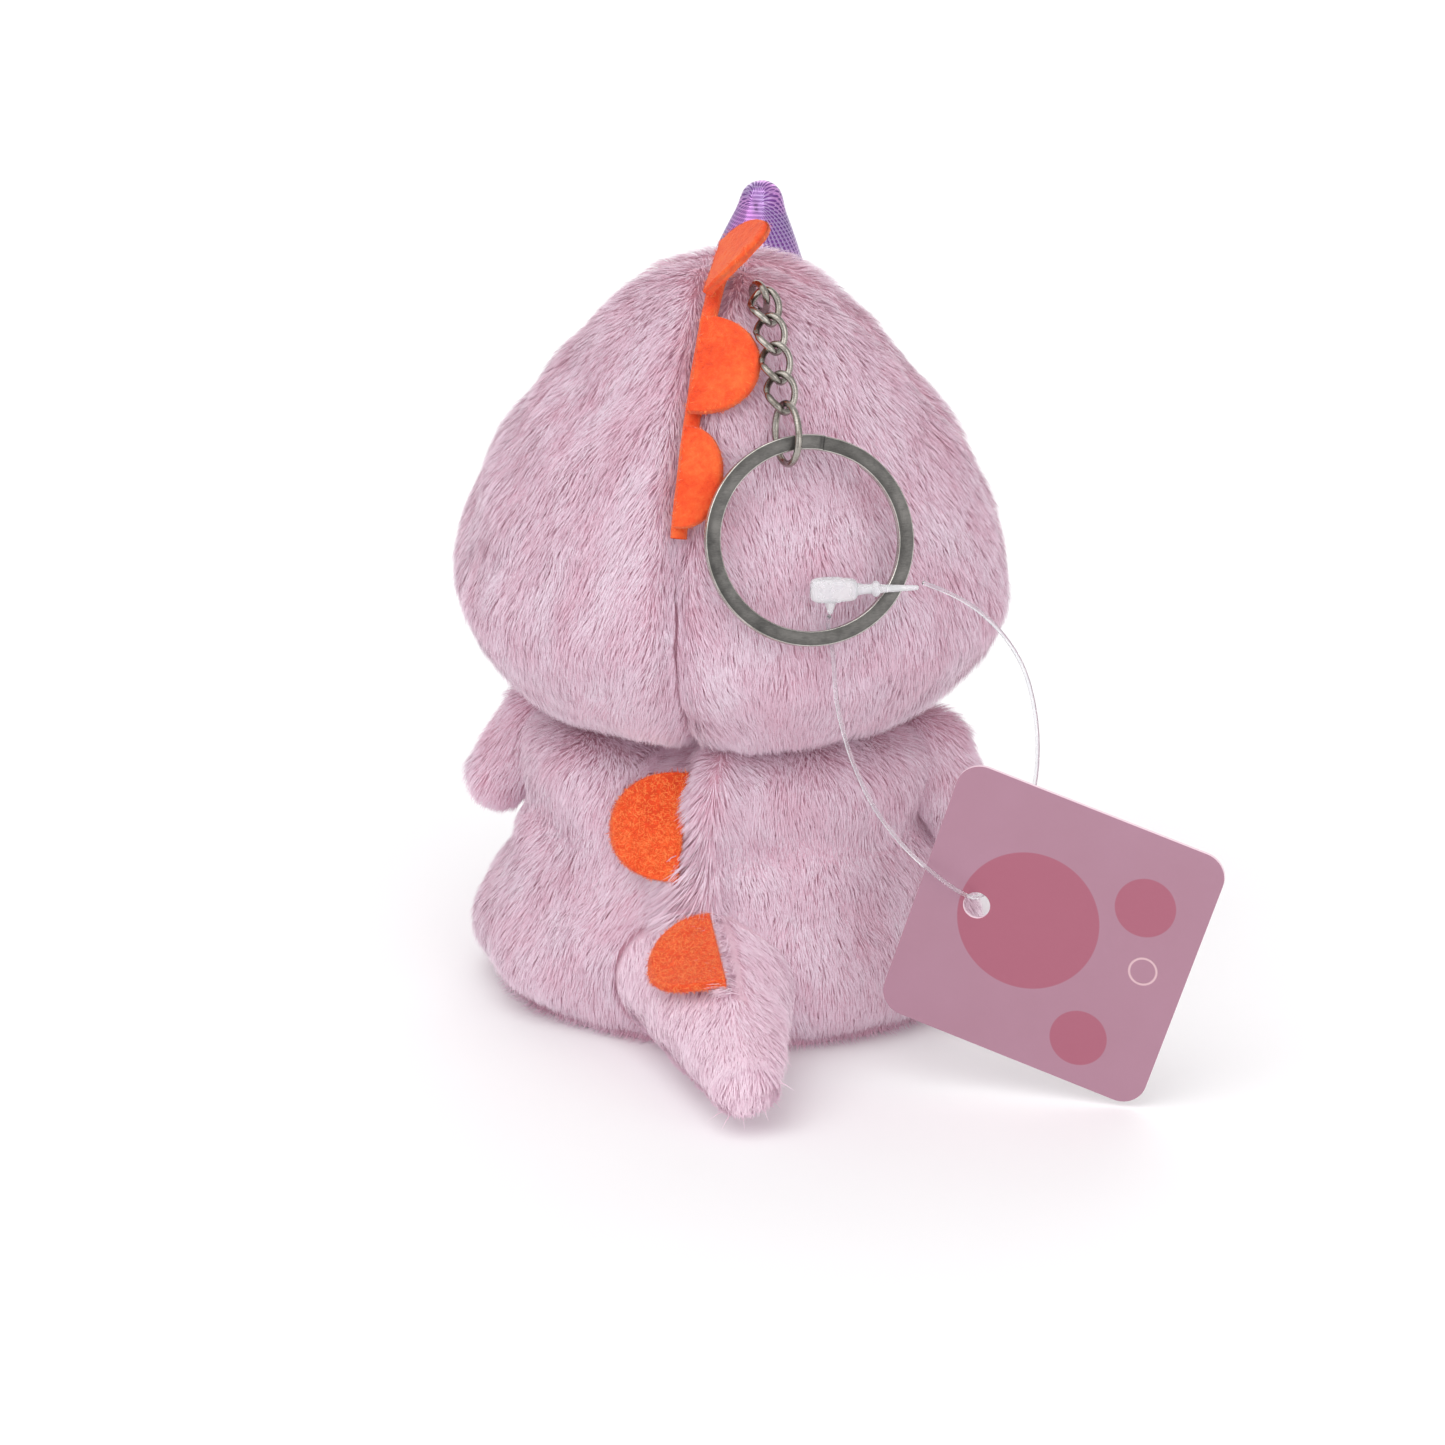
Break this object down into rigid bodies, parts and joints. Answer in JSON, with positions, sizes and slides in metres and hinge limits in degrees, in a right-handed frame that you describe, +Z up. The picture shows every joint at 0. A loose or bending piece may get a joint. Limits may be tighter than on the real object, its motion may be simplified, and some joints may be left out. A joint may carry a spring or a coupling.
{
  "type": "plush keychain",
  "caption": "Sitting plush creature with a foil horn and felt crest, on a curb chain with a split ring and a looped hang tag.",
  "frame": {"origin": "centre of the flat seat, on the surface it sits on", "axes": "+Z up, the creature faces -Y, its left is +X"},
  "size_m": [0.1017, 0.0946, 0.1009],
  "materials": {
    "pink_fur": "short plush pile",
    "pale_fur": "short plush pile, paler",
    "stuffing": "loose polyester fibre",
    "orange_felt": "matt felt",
    "foil_fabric": "printed metallic fabric, iridescent",
    "nickel": "worn nickel plate",
    "black_plastic": "gloss",
    "white_plastic": "moulded",
    "nylon": "clear nylon",
    "card": "printed satin card",
    "thread": "embroidery thread"
  },
  "bodies": {
    "plush": {"head_back_left": "pink_fur", "head_back_right": "pink_fur", "face_panel": "pink_fur", "head_stuffing": "stuffing", "eye_left": "black_plastic", "eye_washer_left": "white_plastic", "eye_right": "black_plastic", "eye_washer_right": "white_plastic", "horn_skin": "foil_fabric", "horn_stuffing": "stuffing", "body_back_left": "pink_fur", "body_back_right": "pink_fur", "belly_panel": "pale_fur", "body_stuffing": "stuffing", "seat_panel": "pink_fur", "crest_strip": "orange_felt", "mouth_stitch": "thread", "anchor_link": "nickel"},
    "arm_left": {"arm_left": "pink_fur"},
    "arm_right": {"arm_right": "pink_fur"},
    "foot_left": {"foot_left": "pink_fur"},
    "foot_right": {"foot_right": "pink_fur"},
    "tail": {"tail": "pale_fur"},
    "tail_spine": {"tail_spine": "orange_felt"},
    "body_spine": {"body_spine": "orange_felt"},
    "head_spine_1": {"head_spine_1": "orange_felt"},
    "head_spine_2": {"head_spine_2": "orange_felt"},
    "head_spine_3": {"head_spine_3": "orange_felt"},
    "chain_link_1": {"chain_link_1": "nickel"},
    "chain_link_2": {"chain_link_2": "nickel"},
    "chain_link_3": {"chain_link_3": "nickel"},
    "chain_link_4": {"chain_link_4": "nickel"},
    "end_link": {"end_link": "nickel"},
    "split_ring": {"split_ring": "nickel"},
    "loop_fastener": {"loop_lock": "nylon", "loop_filament": "nylon"},
    "hang_tag": {"hang_tag": "card"}
  },
  "joints": [
    {"name": "chain_link_1_lift", "type": "hinge", "parent": "plush", "child": "chain_link_1", "pos_m": [-0.00672, 0.0118, 0.09186], "axis": [0.887, 0.4618, 0], "range_deg": [0, 20]},
    {"name": "chain_link_2_lift", "type": "hinge", "parent": "chain_link_1", "child": "chain_link_2", "pos_m": [-0.00811, 0.01446, 0.08936], "axis": [0.887, 0.4618, 0], "range_deg": [0, 20]},
    {"name": "chain_link_3_lift", "type": "hinge", "parent": "chain_link_2", "child": "chain_link_3", "pos_m": [-0.00935, 0.01685, 0.08653], "axis": [0.887, 0.4618, 0], "range_deg": [0, 20]},
    {"name": "chain_link_4_lift", "type": "hinge", "parent": "chain_link_3", "child": "chain_link_4", "pos_m": [-0.01052, 0.01909, 0.08355], "axis": [0.887, 0.4618, 0], "range_deg": [0, 20]},
    {"name": "end_link_lift", "type": "hinge", "parent": "chain_link_4", "child": "end_link", "pos_m": [-0.01162, 0.0212, 0.08045], "axis": [0.887, 0.4618, 0], "range_deg": [0, 20]},
    {"name": "split_ring_lift", "type": "hinge", "parent": "end_link", "child": "split_ring", "pos_m": [-0.01285, 0.02357, 0.07652], "axis": [0.8747, 0.4612, -0.1488], "range_deg": [0, 60]},
    {"name": "fastener_swing", "type": "hinge", "parent": "split_ring", "child": "loop_fastener", "pos_m": [-0.02234, 0.0259, 0.05768], "axis": [0.6784, 0.507, -0.5317], "range_deg": [0, 15]},
    {"name": "hang_tag_swing", "type": "hinge", "parent": "loop_fastener", "child": "hang_tag", "pos_m": [-0.03772, 0.031, 0.02395], "axis": [0.309, 0, -0.9511], "range_deg": [-6, 60]},
    {"name": "head_spine_1_fold", "type": "hinge", "parent": "plush", "child": "head_spine_1", "pos_m": [0, 0.00433, 0.09572], "axis": [0, 0.8917, -0.4526], "range_deg": [-20, 60]},
    {"name": "head_spine_2_fold", "type": "hinge", "parent": "plush", "child": "head_spine_2", "pos_m": [0, 0.01524, 0.08943], "axis": [0, 0.6082, -0.7938], "range_deg": [0, 90]},
    {"name": "head_spine_3_fold", "type": "hinge", "parent": "plush", "child": "head_spine_3", "pos_m": [0, 0.02368, 0.07817], "axis": [0, 0.4524, -0.8918], "range_deg": [0, 90]},
    {"name": "body_spine_fold", "type": "hinge", "parent": "plush", "child": "body_spine", "pos_m": [0, 0.01902, 0.0332], "axis": [0, -0.4711, 0.8821], "range_deg": [0, 90]},
    {"name": "tail_spine_fold", "type": "hinge", "parent": "tail", "child": "tail_spine", "pos_m": [-0.00454, 0.0277, 0.01833], "axis": [0.3734, -0.8776, 0.3007], "range_deg": [0, 90]},
    {"name": "arm_left_swing", "type": "hinge", "parent": "plush", "child": "arm_left", "pos_m": [0.0245, -0.0015, 0.0315], "axis": [1, 0, 0], "range_deg": [-12, 30]},
    {"name": "foot_left_lift", "type": "hinge", "parent": "plush", "child": "foot_left", "pos_m": [0.0155, -0.017, 0.0102], "axis": [-1, 0, 0], "range_deg": [0, 12]},
    {"name": "arm_right_swing", "type": "hinge", "parent": "plush", "child": "arm_right", "pos_m": [-0.0245, -0.0015, 0.0315], "axis": [1, 0, 0], "range_deg": [-12, 30]},
    {"name": "foot_right_lift", "type": "hinge", "parent": "plush", "child": "foot_right", "pos_m": [-0.0155, -0.017, 0.0102], "axis": [-1, 0, 0], "range_deg": [0, 12]},
    {"name": "tail_wag", "type": "hinge", "parent": "plush", "child": "tail", "pos_m": [-0.0015, 0.02, 0.0096], "axis": [0, 0, 1], "range_deg": [-20, 8]}
  ]
}
